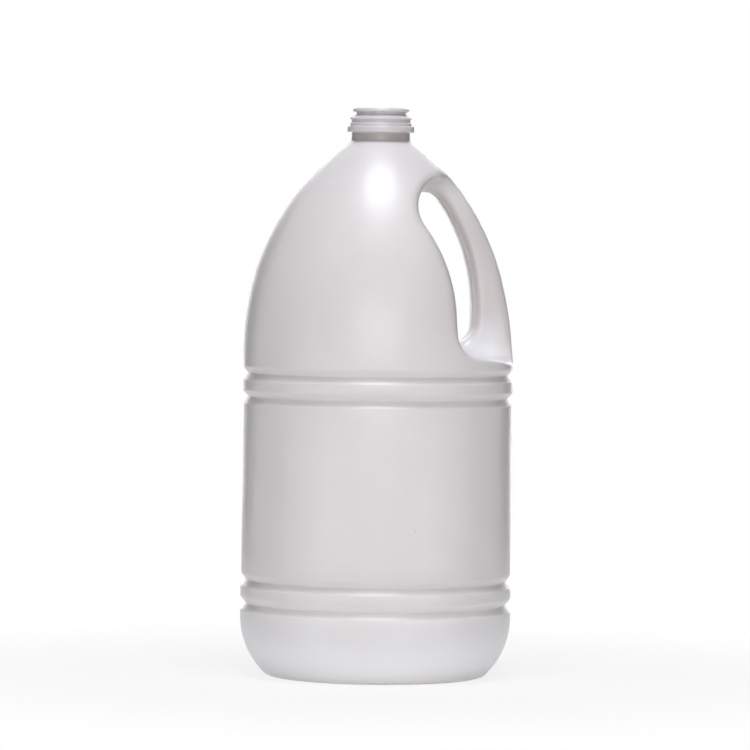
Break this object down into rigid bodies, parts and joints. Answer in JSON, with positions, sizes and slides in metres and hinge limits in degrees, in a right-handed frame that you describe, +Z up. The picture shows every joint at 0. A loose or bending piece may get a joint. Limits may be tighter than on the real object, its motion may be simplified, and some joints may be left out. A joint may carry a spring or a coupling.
{
  "type": "plastic jug",
  "caption": "Round blow-moulded jug with a domed shoulder, an integral hollow handle in a side recess, grooved bands and an open neck for a push-on cap.",
  "frame": {"origin": "centre of the standing plane, on the neck's axis", "axes": "+Z up along the body and neck axis, +X towards the handle, +Y to the back of the jug, with the mould's parting plane at y = 0"},
  "size_m": [0.164, 0.164, 0.344],
  "materials": {
    "shell": "satin, milky"
  },
  "bodies": {
    "root": {"jug": "shell"}
  },
  "joints": []
}
